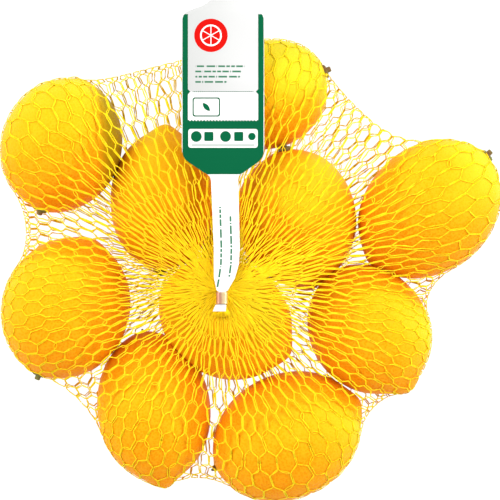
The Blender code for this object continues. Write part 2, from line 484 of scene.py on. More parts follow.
@dataclass(frozen=True)
class BandFinish:
    """Warm-tinted strip metal, drawn along its length and a little scuffed."""

    pale: tuple = (0.86, 0.66, 0.36)
    rosy: tuple = (0.62, 0.30, 0.20)

    def build(self) -> bpy.types.Material:
        """Makes the material.

        Returns:
            The material.
        """
        bench = NodeBench("band_strip_metal")
        place = bench.place()
        drawn = bench.add("ShaderNodeMapping")
        drawn.inputs["Scale"].default_value = (1.0, 0.12, 1.0)
        bench.wire(place, drawn.inputs["Vector"])
        lines = bench.noise(drawn.outputs["Vector"], 5200.0, 2.0)
        scuffs = bench.math("MULTIPLY", bench.noise(place, 700.0), 0.5)
        side = bench.math("SUBTRACT", scuffs, bench.attribute("across"))
        colour = bench.blend(bench.ease(side, 0.0, 0.55), self.pale, self.rosy)
        bench.bump(lines, 0.25, 0.00008)
        bench.set(Base_Color=colour, Metallic=0.85, Roughness=0.38)
        return bench.material


@dataclass(frozen=True)
class PlainFilmFinish:
    """The tag's unprinted back and edges."""

    white: tuple = (0.92, 0.92, 0.90)

    def build(self) -> bpy.types.Material:
        """Makes the material.

        Returns:
            The material.
        """
        bench = NodeBench("plain_film")
        place = bench.place()
        grain = bench.noise(place, 900.0, 2.0)
        shade = bench.blend(grain, self.white, (0.86, 0.86, 0.84))
        bench.bump(grain, 0.1, 0.00005)
        bench.set(Base_Color=shade, Roughness=0.42)
        return bench.material


class TagChart(NodeBench):
    """A bench whose masks are drawn on the tag's map and painted one over another.

    Places are metres: across from the tag's middle line, and along from its short end.
    """

    def __init__(self, name: str) -> None:
        """Starts a material that reads the tag's map.

        Args:
            name: The material's name.
        """
        super().__init__(name)
        split = self.add("ShaderNodeSeparateXYZ")
        chart = self.add("ShaderNodeUVMap", uv_map="tag_map")
        self.wire(chart.outputs["UV"], split.inputs[0])
        self.across = self.math("MULTIPLY", split.outputs["X"], TagPiece.map_size)
        self.along = self.math("MULTIPLY", split.outputs["Y"], TagPiece.map_size)
        self.colour = None

    def paint(self, mask: Socket, colour: tuple) -> None:
        """Lays a colour over what is painted so far, where the mask is 1."""
        self.colour = self.blend(mask, self.colour, colour)

    def shared(self, *masks: Socket) -> Socket:
        """Where all of the masks are 1.

        Args:
            masks: What is combined.

        Returns:
            The combined mask's socket.
        """
        result = masks[0]
        for mask in masks[1:]:
            result = self.math("MULTIPLY", result, mask)
        return result

    def root_of_squares(self, first: Socket, second: Socket) -> Socket:
        """The length of a way with two parts."""
        squares = [self.math("MULTIPLY", value, value) for value in (first, second)]
        return self.math("SQRT", self.math("ADD", squares[0], squares[1]))

    def box(self, middle: tuple, size: tuple) -> Socket:
        """A box with round corners, 1 inside it and 0 outside.

        Args:
            middle: The box's middle, across and along.
            size: Its half width, half height and corner radius.

        Returns:
            The mask's socket.
        """
        *halves, corner = size
        reach = []
        for value, centre, half in zip((self.across, self.along), middle, halves):
            offset = self.math("ABSOLUTE", self.math("SUBTRACT", value, centre))
            beyond = self.math("SUBTRACT", offset, half - corner)
            reach.append(self.math("MAXIMUM", beyond, 0.0))
        return self.math("LESS_THAN", self.root_of_squares(*reach), corner)

    def ring(self, middle: tuple, radii: tuple) -> Socket:
        """A ring or, with an inner radius of 0, a disc.

        Args:
            middle: Its middle, across and along.
            radii: The inner and the outer radius.

        Returns:
            The mask's socket.
        """
        aside = self.math("SUBTRACT", self.across, middle[0])
        ahead = self.math("SUBTRACT", self.along, middle[1])
        distance = self.root_of_squares(aside, ahead)
        outer = self.math("LESS_THAN", distance, radii[1])
        return self.shared(outer, self.math("GREATER_THAN", distance, radii[0] - 1e-6))

    def line(self, middle: tuple, angle: float, half_width: float) -> Socket:
        """An endless straight line.

        Args:
            middle: A place that it passes through.
            angle: Direction of its normal, in radians.
            half_width: Half of its width.

        Returns:
            The mask's socket.
        """
        aside = self.math("SUBTRACT", self.across, middle[0])
        ahead = self.math("SUBTRACT", self.along, middle[1])
        aside = self.math("MULTIPLY", aside, math.cos(angle))
        ahead = self.math("MULTIPLY", ahead, math.sin(angle))
        offset = self.math("ABSOLUTE", self.math("ADD", aside, ahead))
        return self.math("LESS_THAN", offset, half_width)

    def dashes(self, place: Socket, shift: float) -> Socket:
        """Dashes of uneven length.

        Args:
            place: The place along them.
            shift: Moves the cuts, so that no two rows are alike.

        Returns:
            1 on a dash and 0 between two.
        """
        moved = self.math("ADD", place, shift * 37.0)
        gaps = [self.math("PINGPONG", moved, pitch) for pitch in (0.00310, 0.00236)]
        nearest = self.math("MINIMUM", gaps[0], gaps[1])
        return self.math("GREATER_THAN", nearest, 0.00030)


@dataclass(frozen=True)
class PrintedFilmFinish:
    """The tag's face: white film with green fields, a red badge and plain shapes.

    The film above the tear line bends away from the light, so it is greyer there.
    """

    white: tuple = (0.72, 0.72, 0.715)
    shaded: tuple = (0.47, 0.475, 0.465)
    bright: tuple = (0.55, 0.55, 0.545)
    shade_reach: tuple = (-0.018, 0.014)
    green: tuple = (0.0012, 0.092, 0.036)
    red: tuple = (0.52, 0.005, 0.003)
    pale_green: tuple = (0.045, 0.16, 0.09)
    border: float = 0.0168
    rim: float = 0.0194
    field_low: float = 0.0655
    field_high: float = 0.0909
    border_high: float = 0.1422
    tooth_pitch: float = 0.00150
    tooth_depth: float = 0.0007
    tear_line: float = 0.1050
    notch: float = 0.0012
    badge: tuple = (-0.0058, 0.1320)
    frame: tuple = (-0.0080, 0.0977)
    leaf: tuple = ((-0.0097, 0.0962), (-0.0063, 0.0992))
    shapes_high: float = 0.0836
    # Height, middle and half length of each row of dashes across the tag
    bars: tuple = (
        (0.1172, -0.0015, 0.0118),
        (0.1147, -0.0020, 0.0113),
        (0.1122, -0.0026, 0.0107),
        (0.1097, -0.0058, 0.0075),
    )
    # Place across, low end and high end of each row of dashes on the strip
    strip_rows: tuple = ((-0.0026, 0.0115, 0.0500), (0.0022, 0.0165, 0.0455))

    def build(self) -> bpy.types.Material:
        """Makes the material.

        Returns:
            The material.
        """
        chart = TagChart("printed_film")
        self._fields(chart)
        self._badge(chart)
        self._rows(chart)
        self._panel(chart)
        grain = chart.noise(chart.place(), 900.0, 2.0)
        chart.bump(grain, 0.08, 0.00005)
        chart.set(Base_Color=chart.colour, Roughness=0.38, Specular_IOR_Level=0.05)
        return chart.material

    def _fields(self, chart: TagChart) -> None:
        """The film, with green borders and a green field that has a toothed edge.

        Args:
            chart: The tag's chart, which is painted on.
        """
        shade = chart.ease(chart.across, *self.shade_reach)
        upper = chart.blend(shade, self.shaded, self.bright)
        bent = chart.math("GREATER_THAN", chart.along, self.tear_line)
        chart.colour = chart.blend(bent, self.white, upper)
        teeth = chart.math("PINGPONG", chart.across, self.tooth_pitch / 2)
        teeth = chart.math("MULTIPLY", teeth, 2 * self.tooth_depth / self.tooth_pitch)
        edge = chart.math("ADD", chart.along, teeth)
        area = chart.math("LESS_THAN", edge, self.field_high + self.tooth_depth)
        aside = chart.math("ABSOLUTE", chart.across)
        away = chart.math("SUBTRACT", chart.along, self.tear_line)
        away = chart.math("ABSOLUTE", away)
        notch = chart.math("MAXIMUM", chart.math("SUBTRACT", self.notch, away), 0.0)
        border = chart.shared(
            chart.math("GREATER_THAN", chart.math("ADD", aside, notch), self.border),
            chart.math("LESS_THAN", chart.along, self.border_high),
        )
        mask = chart.shared(
            chart.math("MAXIMUM", area, border),
            chart.math("GREATER_THAN", chart.along, self.field_low),
            chart.math("LESS_THAN", aside, self.rim),
        )
        chart.paint(mask, self.green)

    def _badge(self, chart: TagChart) -> None:
        """A round red badge that holds a plain fruit slice.

        Args:
            chart: The tag's chart, which is painted on.
        """
        chart.paint(chart.ring(self.badge, (0.0, 0.0080)), self.red)
        chart.paint(chart.ring(self.badge, (0.0044, 0.0052)), self.white)
        flesh = chart.ring(self.badge, (0.0, 0.0046))
        for turn in range(3):
            spoke = chart.line(self.badge, math.pi * turn / 3, 0.00022)
            chart.paint(chart.shared(spoke, flesh), self.white)

    def _rows(self, chart: TagChart) -> None:
        """Rows of dashes, a dotted tear line and a small framed leaf.

        Args:
            chart: The tag's chart, which is painted on.
        """
        for height, middle, half in self.bars:
            row = chart.box((middle, height), (half, 0.00042, 0.0003))
            row = chart.shared(row, chart.dashes(chart.across, height))
            chart.paint(row, self.pale_green)
        for place, low, high in self.strip_rows:
            size = (0.00045, (high - low) / 2, 0.0003)
            row = chart.box((place, (low + high) / 2), size)
            row = chart.shared(row, chart.dashes(chart.along, place))
            chart.paint(row, self.pale_green)
        dots = chart.math("PINGPONG", chart.across, 0.00045)
        dots = chart.math("LESS_THAN", dots, 0.00026)
        line = chart.box((0.0, self.tear_line), (0.0145, 0.00028, 0.0001))
        chart.paint(chart.shared(dots, line), self.green)
        outer = chart.box(self.frame, (0.0066, 0.0046, 0.0012))
        inner = chart.box(self.frame, (0.0060, 0.0040, 0.0009))
        frame = chart.math("SUBTRACT", outer, inner)
        leaf = chart.shared(*(chart.ring(place, (0.0, 0.0034)) for place in self.leaf))
        chart.paint(chart.math("MAXIMUM", frame, leaf), self.green)

    def _panel(self, chart: TagChart) -> None:
        """A white panel in the green field, with a row of plain green shapes.

        Args:
            chart: The tag's chart, which is painted on.
        """
        chart.paint(chart.box((0.0, 0.0827), (0.0166, 0.0045, 0.0012)), self.white)
        for place, radius in ((-0.0128, 0.0026), (0.0012, 0.0026), (0.0138, 0.0018)):
            disc = chart.ring((place, self.shapes_high), (0.0, radius))
            chart.paint(disc, self.green)
        for place in (-0.0068, 0.0075):
            block = chart.box((place, self.shapes_high), (0.0022, 0.0022, 0.0006))
            chart.paint(block, self.green)
        foot = chart.box((0.0, 0.0795), (0.0150, 0.0004, 0.0003))
        chart.paint(chart.math("MULTIPLY", foot, 0.5), self.green)


@dataclass(frozen=True)
class LemonShape:
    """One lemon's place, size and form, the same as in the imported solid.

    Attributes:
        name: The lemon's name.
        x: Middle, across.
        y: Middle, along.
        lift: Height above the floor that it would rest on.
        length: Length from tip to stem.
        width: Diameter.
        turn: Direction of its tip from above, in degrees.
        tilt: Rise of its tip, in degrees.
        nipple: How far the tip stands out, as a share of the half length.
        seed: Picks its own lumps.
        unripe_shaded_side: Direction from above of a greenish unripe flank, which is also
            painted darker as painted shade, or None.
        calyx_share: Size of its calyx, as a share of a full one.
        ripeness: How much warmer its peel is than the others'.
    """

    name: str
    x: float
    y: float
    lift: float
    length: float
    width: float
    turn: float
    tilt: float
    nipple: float
    seed: int
    unripe_shaded_side: float | None = None
    calyx_share: float = 1.0
    ripeness: float = 0.0

    FLOOR_CUT = 0.0005
    NIPPLE_WIDTH = 0.25
    STEM_SWELL = 0.02
    STEM_SWELL_WIDTH = 0.30
    LUMP = 0.009

    @property
    def axes(self) -> Points:
        """Rows: along the lemon to its tip, sideways, and upwards.

        Returns:
            Three unit vectors, one in each row.
        """
        turn, tilt = math.radians(self.turn), math.radians(self.tilt)
        along = np.array(
            (
                math.cos(tilt) * math.cos(turn),
                math.cos(tilt) * math.sin(turn),
                math.sin(tilt),
            )
        )
        side = unit(np.cross((0.0, 0.0, 1.0), along))
        return np.array((along, side, np.cross(along, side)))

    @property
    def centre(self) -> Points:
        """The middle between tip and stem.

        Returns:
            A place in the world.
        """
        tilt = math.radians(self.tilt)
        reach = math.hypot(
            self.width / 2 * math.cos(tilt), self.length / 2 * math.sin(tilt)
        )
        return np.array((self.x, self.y, reach + self.lift - self.FLOOR_CUT))

    @property
    def half_length(self) -> float:
        """Half length of the plain body under tip and stem."""
        return self.length / (2.0 + self.nipple + self.STEM_SWELL)

    @property
    def middle_shift(self) -> float:
        """How far the body's middle lies from the centre, towards the stem."""
        return (self.nipple - self.STEM_SWELL) / 2 * self.half_length

    def ends(self, radius: Points, along: Points) -> Points:
        """How far tip and stem stand out of the plain body.

        Args:
            radius: Distance from the axis, as a share of the half width.
            along: Place along the axis, which picks the end.

        Returns:
            The extra height, in metres.
        """
        tip = self.nipple * np.exp(-((radius / self.NIPPLE_WIDTH) ** 2))
        stem = -self.STEM_SWELL * np.exp(-((radius / self.STEM_SWELL_WIDTH) ** 2))
        return np.where(along > 0, tip, stem) * self.half_length

    def swell(self, direction: Points) -> Points:
        """Gentle lumps, as a factor round 1, from unit directions in the body.

        Args:
            direction: Unit directions in the body.

        Returns:
            A factor for each direction.
        """
        random = np.random.default_rng(self.seed)
        total = np.zeros(direction.shape[:-1])
        for wave in range(5):
            pull = random.normal(size=3) * (1.4 + 0.7 * wave)
            phase = random.uniform(0, 2 * math.pi)
            total += np.sin(direction @ pull + phase) / (1 + 0.5 * wave)
        return 1.0 + self.LUMP * total

    def to_body(self, points: Points) -> Points:
        """World points in the body's own axes, from its middle.

        Args:
            points: Places in the world.

        Returns:
            The same in the body's axes.
        """
        local = (points - self.centre) @ self.axes.T
        local[..., 0] += self.middle_shift
        return local

    def to_world(self, local: Points) -> Points:
        """Body points back in the world.

        Args:
            local: Places in the body's axes.

        Returns:
            The same in the world.
        """
        moved = local.copy()
        moved[..., 0] -= self.middle_shift
        return moved @ self.axes + self.centre

    def reach(self, local: Points, clearance: float) -> tuple[Points, Points]:
        """How deep body points lie: below 1 is inside.

        Args:
            local: Points in the body's axes.
            clearance: Extra size all round, in metres.

        Returns:
            The share of the way out, and the scaled directions.
        """
        half_width = self.width / 2 + clearance
        half_length = self.half_length + clearance
        radius = np.linalg.norm(local[..., 1:], axis=-1) / half_width
        along = (local[..., 0] - self.ends(radius, local[..., 0])) / half_length
        aside = local[..., 1:] / half_width
        scaled = np.concatenate((along[..., None], aside), axis=-1)
        length = np.linalg.norm(scaled, axis=-1)
        return length / self.swell(unit(scaled)), scaled

    def push_out(self, points: Points, clearance: float) -> Points:
        """Moves points that are inside the lemon out to its surface.

        Args:
            points: World points.
            clearance: How far above the peel they end up.

        Returns:
            The moved points.
        """
        near = np.linalg.norm(points - self.centre, axis=-1) < self.length * 0.62
        moved = points.copy()
        if not near.any():
            return moved
        local = self.to_body(points[near])
        depth, scaled = self.reach(local, clearance)
        inside = depth < 1.0
        scaled = scaled[inside] / np.maximum(depth[inside], 1e-6)[:, None]
        half_width = self.width / 2 + clearance
        radius = np.linalg.norm(scaled[:, 1:], axis=-1)
        along = scaled[:, 0] * (self.half_length + clearance)
        along += self.ends(radius, scaled[:, 0])
        local[inside] = np.column_stack((along, scaled[:, 1:] * half_width))
        moved[near] = self.to_world(local)
        return moved


LEMONS = (
    LemonShape(
        "lemon_left_top", -0.0902, 0.0506, 0.0, 0.0667, 0.0576, 72, -12, 0.05, 11,
        unripe_shaded_side=5,
    ),
    LemonShape(
        "lemon_under_strip", -0.0418, 0.0254, 0.0, 0.0700, 0.0506, 88, 3, 0.10, 12,
        ripeness=-0.12,
    ),
    LemonShape(
        "lemon_under_tag", 0.0072, 0.0744, 0.0, 0.0624, 0.0524, 202, 0, 0.09, 13,
        ripeness=-0.20,
    ),
    LemonShape(
        "lemon_middle_right", 0.0226, 0.0144, 0.0, 0.0700, 0.0574, -80, -8, 0.09, 14,
        ripeness=-0.04,
    ),
    LemonShape(
        "lemon_right", 0.0857, 0.0194, 0.0, 0.0768, 0.0600, 223, 0, 0.05, 15,
    ),
    LemonShape(
        "lemon_left_low", -0.0883, -0.0274, 0.0, 0.0696, 0.0608, 68, 0, 0.05, 16,
    ),
    LemonShape(
        "lemon_centre", -0.0106, -0.0336, 0.005, 0.0686, 0.0556, -29, 0, 0.08, 17,
        calyx_share=0.45, ripeness=-0.18,
    ),
    LemonShape(
        "lemon_right_low", 0.0581, -0.0389, 0.0, 0.0682, 0.0568, -57, 0, 0.10, 18,
    ),
    LemonShape(
        "lemon_bottom_left", -0.0463, -0.0773, 0.0, 0.0758, 0.0540, -82, 2, 0.10, 19,
        calyx_share=0.4,
    ),
    LemonShape(
        "lemon_bottom_right", 0.0180, -0.0888, 0.0, 0.0768, 0.0596, 25, 0, 0.07, 20,
        calyx_share=0.45, ripeness=-0.06,
    ),
)


@dataclass
class LemonPiece:
    """A lemon as a fine turned mesh with its calyx, pressed flat where it touches."""

    shape: LemonShape
    peel: bpy.types.Material
    calyx: bpy.types.Material
    rows: int = 84
    sides: int = 116
    floor_height: float = 0.0007
    calyx_radius: float = 0.0030
    calyx_sides: int = 30
    pressed_share: float = 0.55
    # Bounds of the painted shade that the tag's edge throws on the lemon under the strip.
    beside_tag_x: tuple = (-0.056, -0.036)
    beside_tag_y: tuple = (0.010, 0.030)
    stalk_length: float = 0.0017

    def build(self) -> bpy.types.Object:
        """Makes the lemon and hands it to the frame.

        Returns:
            The lemon's object.
        """
        points, faces, body = self._skin()
        points = self._pressed(points)
        warmth_and_shade, unripe_and_shade = self._tints(points, body)
        calyx_points, calyx_faces = self._calyx(len(points))
        count = len(calyx_points)
        obj = new_mesh_object(
            self.shape.name, np.vstack((points, calyx_points)), faces + calyx_faces
        )
        obj.data.materials.append(self.peel)
        obj.data.materials.append(self.calyx)
        for polygon in obj.data.polygons[len(faces) :]:
            polygon.material_index = 1
        set_attribute(obj.data, "warmth_and_shade", np.append(warmth_and_shade, np.full(count, 0.5)))
        set_attribute(obj.data, "unripe_and_shade", np.append(unripe_and_shade, np.zeros(count)))
        return finish_piece(obj, NET_NODE)

    def _skin(self) -> tuple[Points, list, Points]:
        """The closed peel.

        Returns:
            World points, faces, and the points in the body's axes.
        """
        shape = self.shape
        angles = math.pi * np.arange(1, self.rows) / self.rows
        turns = 2 * math.pi * np.arange(self.sides) / self.sides
        angle, turn = np.meshgrid(angles, turns, indexing="ij")
        scaled = np.stack(
            (np.cos(angle), np.sin(angle) * np.cos(turn), np.sin(angle) * np.sin(turn)),
            axis=-1,
        ).reshape(-1, 3)
        scaled = np.vstack((scaled, (1.0, 0.0, 0.0), (-1.0, 0.0, 0.0)))
        scaled *= shape.swell(scaled)[:, None]
        radius = np.linalg.norm(scaled[:, 1:], axis=-1)
        body = scaled * (shape.half_length, shape.width / 2, shape.width / 2)
        body[:, 0] += shape.ends(radius, scaled[:, 0])
        faces = []
        for row in range(self.rows - 2):
            for side in range(self.sides):
                after = (side + 1) % self.sides
                first, second = row * self.sides, (row + 1) * self.sides
                faces.append(
                    (first + side, second + side, second + after, first + after)
                )
        tip, stem = len(body) - 2, len(body) - 1
        last = (self.rows - 2) * self.sides
        for side in range(self.sides):
            after = (side + 1) % self.sides
            faces.append((tip, side, after))
            faces.append((stem, last + after, last + side))
        return shape.to_world(body), faces, body

    def _pressed(self, points: Points) -> Points:
        """Flattens the peel on the floor and where it meets a neighbour.

        Args:
            points: Places on the unpressed peel, in the world.

        Returns:
            Where they lie when it is pressed.
        """
        pressed = points.copy()
        for other in LEMONS:
            if other.name == self.shape.name:
                continue
            depth, _ = other.reach(other.to_body(pressed), 0.0)
            inside = depth < 1.0
            amount = (1.0 - depth[inside]) * other.width / 2 * self.pressed_share
            inward = unit(self.shape.centre - pressed[inside])
            pressed[inside] += inward * amount[:, None]
        pressed[:, 2] = np.maximum(pressed[:, 2], self.floor_height)
        return pressed

    def _tints(self, points: Points, body: Points) -> tuple[Points, Points]:
        """Painted shade, painted light and unripeness of the peel at each point.

        Painted shade and painted light: the peel is painted warmer and darker where it
        faces the other lemons, which hide the light and throw their colour on it, towards
        the middle of the pile, on its near side and under the tag's edge, and it is
        painted paler where it is open to the light. Each lemon's ripeness shifts it all.

        Args:
            points: Places on the peel in the world.
            body: The same in the body's axes.

        Returns:
            The warmth with painted shade and painted light, and the unripeness with
                painted shade, from 0 to 1.
        """
        shape = self.shape
        half = np.array((shape.half_length, shape.width / 2, shape.width / 2))
        normal = unit((body / half**2) @ shape.axes)
        # Painted shade and reflected colour: how much of the light the neighbouring
        # lemons hide from each point.
        facing = np.zeros(len(points))
        for other in LEMONS:
            if other.name == shape.name:
                continue
            away = other.centre - points
            distance = np.linalg.norm(away, axis=1)
            look = np.sum(normal * away, axis=1) / distance
            cover = (other.width / 2) ** 2 / np.maximum(distance**2, 4e-4)
            facing += np.maximum(look, 0.0) * cover
        # Painted shade on the side that faces the middle of the pile.
        heart = np.array(NetKnit.heart) - points
        under_strip = heart[:, 0] > 0.0
        heart[:, 2] = 0.0
        inward = np.sum(normal * unit(heart), axis=1)
        open_side = 1.0 - np.clip(facing / 0.4, 0.0, 1.0)
        # Painted shade under the tag's edge, on the lemon under the strip.
        beside_tag = smoothstep(*self.beside_tag_x, points[:, 0]) * under_strip
        beside_tag *= smoothstep(*self.beside_tag_y, points[:, 1])
        open_side *= 1.0 - 0.9 * beside_tag
        # Painted light on the sides that face the lamps; the near side keeps its painted
        # shade.
        right, left = np.maximum(normal[:, 0], 0.0), np.maximum(-normal[:, 0], 0.0)
        near, far = np.minimum(normal[:, 1], 0.0), np.maximum(normal[:, 1], 0.0)
        pale = 0.36 * right + 0.12 * left + 0.60 * near + 0.30 * far
        warmth_and_shade = 0.50 + shape.ripeness + 0.50 * np.clip(facing, 0.0, 0.9)
        warmth_and_shade += 0.12 * inward - open_side * pale
        # A greenish unripe flank, darkened further as painted shade.
        unripe_and_shade = np.zeros(len(points))
        if shape.unripe_shaded_side is not None:
            side = math.radians(shape.unripe_shaded_side)
            toward = normal @ np.array((math.cos(side), math.sin(side), 0.0))
            unripe_and_shade = 0.85 * smoothstep(0.52, 0.82, toward)
        return np.clip(warmth_and_shade, 0.0, 1.0), unripe_and_shade

    def _calyx(self, start: int) -> tuple[Points, list]:
        """The button of sepals with its stub of stalk, at the stem end.

        Args:
            start: Index of its first vertex in the whole mesh.

        Returns:
            World points and faces.
        """
        shape = self.shape
        end = -(1.0 + shape.STEM_SWELL) * shape.half_length
        rings = (
            (1.00, -0.0006),
            (1.00, 0.0004),
            (0.72, 0.0010),
            (0.46, 0.0009),
            (0.44, 0.0009 + self.stalk_length * shape.calyx_share),
            (0.30, 0.0012 + self.stalk_length * shape.calyx_share),
        )
        points = []
        for share, out in rings:
            for side in range(self.calyx_sides):
                turn = 2 * math.pi * side / self.calyx_sides
                lobe = 1.0 + 0.20 * math.cos(5 * turn) * smoothstep(0.4, 1.0, share)
                radius = self.calyx_radius * shape.calyx_share * share * lobe
                points.append(
                    (end - out, radius * math.cos(turn), radius * math.sin(turn))
                )
        points.append((end - rings[-1][1], 0.0, 0.0))
        points.append((end + 0.0006, 0.0, 0.0))
        faces = []
        for ring in range(len(rings) - 1):
            for side in range(self.calyx_sides):
                after = (side + 1) % self.calyx_sides
                low = start + ring * self.calyx_sides
                high = low + self.calyx_sides
                faces.append((low + side, low + after, high + after, high + side))
        top, bottom = start + len(points) - 2, start + len(points) - 1
        last = start + (len(rings) - 1) * self.calyx_sides
        for side in range(self.calyx_sides):
            after = (side + 1) % self.calyx_sides
            faces.append((last + side, last + after, top))
            faces.append((start + after, start + side, bottom))
        return shape.to_world(np.array(points)), faces


@dataclass
class NetKnit:
    """The knitted net: where its knots lie, and the threads between them.

    Two strands lie side by side in each knot, which is a short pillar down the net,
    and part again towards the knots on either side. A strand is a pair of threads.
    """

    thread: bpy.types.Material
    upper_throat: Vector
    lower_throat: Vector
    upper_run: tuple
    lower_run: tuple
    columns: int = 100
    rows: int = 26
    passes: int = 900
    settling: int = 160
    bar_length: float = 0.0065
    stiffness: float = 0.02
    hoop: float = 0.11
    rim_hoop: float = 0.15
    top_slack: float = 0.48
    step: float = 0.9
    grip: float = 0.08
    pillow_radius: float = 0.136
    pillow_middle: float = 0.031
    pillow_rise: float = 0.040
    throat_radius: float = 0.0018
    floor_height: float = 0.0004
    thread_radius: float = 0.00021
    longest_pillar: float = 0.0080
    pillar_share: float = 0.34
    leg_points: int = 5
    leg_swing: float = 0.42
    strand_gap: float = 0.00026
    loosest_gap: float = 0.00062
    lean: float = 0.10
    twin_offset: float = 0.00017
    twin_turn: float = 0.9
    bow: float = 0.00018
    widest_twin: float = 0.00065
    crowded_radius: float = 0.0180
    rim_crowding: float = 0.08
    throat_crowding: float = 0.12
    lopsided: float = 0.06
    seed: int = 5
    tube_sides: int = 3

    heart = (-0.0134, -0.0200, 0.030)

    def build(self) -> list[bpy.types.Object]:
        """Stretches the net over the lemons and works it in thread.

        Returns:
            The pieces, from the upper band to the lower one.
        """
        knots = self._relaxed(self._start())
        random = np.random.default_rng(self.seed)
        threads = self._threads(knots, random)
        return [self._piece(zone, threads, random) for zone in NetZone]

    def _start(self) -> Points:
        """Knots on a wide pillow round all the lemons, as rows and columns.

        Returns:
            A place for each knot.
        """
        share = np.arange(self.rows + 1) / self.rows
        angle = math.pi * share[:, None]
        column = np.arange(self.columns)[None, :]
        stagger = 0.5 * (np.arange(self.rows + 1) % 2)[:, None]
        even = 2 * math.pi * (column + stagger) / self.columns
        crowding = self.rim_crowding + self.throat_crowding * (1 - np.sin(angle))
        turn = even - crowding * np.sin(2 * even) + self.lopsided * np.cos(even)
        upper, lower = np.array(self.upper_throat), np.array(self.lower_throat)
        middle = upper[:2] * (1 - share[:, None]) + lower[:2] * share[:, None]
        wide = np.sin(angle) ** 0.85
        drift = (1 - np.sin(angle))[..., None] * middle[:, None, :]
        around = np.stack((np.cos(turn), np.sin(turn)), axis=-1)
        flat = self.pillow_radius * wide[..., None] * around
        rise = self.pillow_rise * np.cos(angle) * np.ones_like(turn)
        height = self.pillow_middle + rise
        knots = np.concatenate((flat + drift, height[..., None]), axis=-1)
        ring = np.stack((np.cos(turn), np.sin(turn), np.zeros_like(turn)), axis=-1)
        knots[0] = upper + self.throat_radius * ring[0]
        knots[-1] = lower + self.throat_radius * ring[-1]
        return knots

    def _neighbours(self) -> Points:
        """Flat indices of the four knots that each inner knot is tied to.

        Returns:
            Four indices for each inner knot.
        """
        ties = np.zeros((self.rows - 1, self.columns, 4), int)
        for row in range(1, self.rows):
            for column in range(self.columns):
                other = column - 1 if row % 2 == 0 else column + 1
                other %= self.columns
                above, below = (row - 1) * self.columns, (row + 1) * self.columns
                pair = np.array((column, other))
                ties[row - 1, column] = np.concatenate((above + pair, below + pair))
        return ties.reshape(-1, 4)

    def _relaxed(self, knots: Points) -> Points:
        """Pulls the net taut over the lemons.

        A bar pulls when it is longer than its own length, and pushes a little when it
        is shorter, and each row of knots is drawn straight, most at the rim. Bars are
        longer at the top of the picture, where the net hangs slacker. At first each
        knot stays in its own upright plane, so that the meshes are spread evenly round
        the bag. Then the net settles, and a knot that presses on a lemon hardly slides.

        Args:
            knots: Where the knots start.

        Returns:
            Where they end up.
        """
        ties = self._neighbours()
        share = (np.arange(self.rows + 1) / self.rows)[:, None, None]
        upper, lower = np.array(self.upper_throat), np.array(self.lower_throat)
        axis = (upper * (1 - share) + lower * share) * np.ones_like(knots)
        spoke = knots - axis
        spoke[..., 2] = 0.0
        axis, spoke = axis.reshape(-1, 3), unit(spoke).reshape(-1, 3)
        flat = knots.reshape(-1, 3).copy()
        inner = slice(self.columns, self.rows * self.columns)
        hoop = self.hoop + self.rim_hoop * np.sin(math.pi * share[1:-1]) ** 12
        upward = np.sin(2 * math.pi * np.arange(self.columns) / self.columns)
        slack = 1.0 + self.top_slack * np.maximum(upward, 0.0) ** 2
        rest = self.bar_length * np.tile(slack, self.rows - 1)[:, None, None]
        axis, spoke = axis[inner, :2], spoke[inner, :2]
        for turn in range(self.passes + self.settling):
            here = flat[inner]
            bars = flat[ties] - here[:, None, :]
            length = np.linalg.norm(bars, axis=2, keepdims=True)
            excess = length - rest
            pull = np.where(excess > 0, excess, self.stiffness * excess)
            shift = np.mean(bars / np.maximum(length, 1e-6) * pull, axis=1)
            grid = here.reshape(self.rows - 1, self.columns, 3)
            beside = (np.roll(grid, 1, axis=1) + np.roll(grid, -1, axis=1)) / 2
            shift += (hoop * (beside - grid)).reshape(-1, 3)
            free = here + self.step * shift
            moved = self._outside(free, self.thread_radius)
            if turn < self.passes:
                radius = np.sum((moved[:, :2] - axis) * spoke, axis=1, keepdims=True)
                moved[:, :2] = axis + spoke * np.maximum(radius, self.throat_radius)
            else:
                held = np.linalg.norm(moved - free, axis=1) > 1e-7
                moved[held] = here[held] + self.grip * (moved[held] - here[held])
            flat[inner] = self._outside(moved, self.thread_radius)
        return flat.reshape(knots.shape)

    def _outside(self, points: Points, clearance: float) -> Points:
        """Keeps points out of every lemon and off the floor.

        Args:
            points: Places in the world.
            clearance: How far from the peel they stay.

        Returns:
            The places, pushed out where they were too near.
        """
        for lemon in LEMONS:
            points = lemon.push_out(points, clearance)
        points[:, 2] = np.maximum(points[:, 2], self.floor_height)
        return points

    def _frames(self, knots: Points) -> tuple[Points, Points, Points]:
        """At each knot: half its pillar, the way round the bag, and outwards.

        Args:
            knots: The knots, as rows and columns.

        Returns:
            The three vectors of each knot.
        """
        down = np.empty_like(knots)
        down[1:-1] = (knots[2:] - knots[:-2]) / 2
        down[0] = knots[1] - knots[0]
        down[-1] = knots[-1] - knots[-2]
        length = np.linalg.norm(down, axis=-1, keepdims=True)
        half = np.minimum(self.longest_pillar / 2, self.pillar_share * length)
        half[0] = half[-1] = self.twin_offset
        across = unit(np.roll(knots, -1, axis=1) - np.roll(knots, 1, axis=1))
        out = unit(np.cross(unit(down), across))
        return unit(down) * half, across, out

    def _zigzag(self, start: int, kind: int) -> Points:
        """The column of the knot that a strand passes in each row.

        Args:
            start: The strand's column in the first row.
            kind: 0 for the strand that starts to the right, 1 for the other.

        Returns:
            One column for each row.
        """
        row = np.arange(self.rows + 1)
        return (start - kind * (row % 2)) % self.columns

